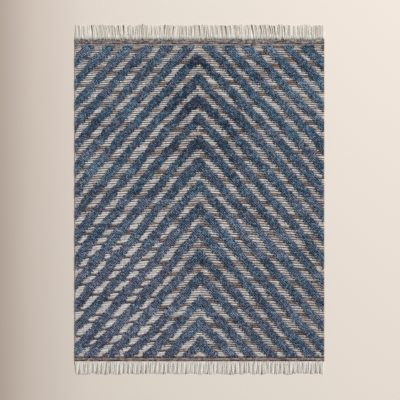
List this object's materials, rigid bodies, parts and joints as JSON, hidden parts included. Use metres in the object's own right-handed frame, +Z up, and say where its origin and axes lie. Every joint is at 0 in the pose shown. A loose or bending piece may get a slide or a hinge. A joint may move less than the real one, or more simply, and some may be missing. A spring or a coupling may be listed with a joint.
{
  "type": "hand-knotted rug",
  "caption": "Flat rectangular rug with raised chevron stripes of wool pile on a flat woven ground, a woven band at each end and a fringe of yarn tassels beyond it.",
  "frame": {"origin": "middle of the rug's whole length and width, on the floor", "axes": "+Y along the rug's length towards the end that the chevrons point to, +X across its width, +Z up out of the pile"},
  "size_m": [1.524, 2.134, 0.015],
  "materials": {
    "wool_pile": "cut wool pile in mottled slate blue, matte, with darker and lighter bands of dye",
    "woven_ground": "flat weave of cream yarn with thin rows of taupe and brown, matte",
    "end_band": "flat ribbed weave in mauve brown, with darker rows at both edges, matte",
    "fringe_yarn": "undyed twisted yarn in warm cream, matte"
  },
  "bodies": {
    "root": {"knotted_field": "wool_pile", "end_band_upper": "end_band", "end_band_lower": "end_band", "fringe_upper": "fringe_yarn", "fringe_lower": "fringe_yarn"}
  },
  "joints": []
}
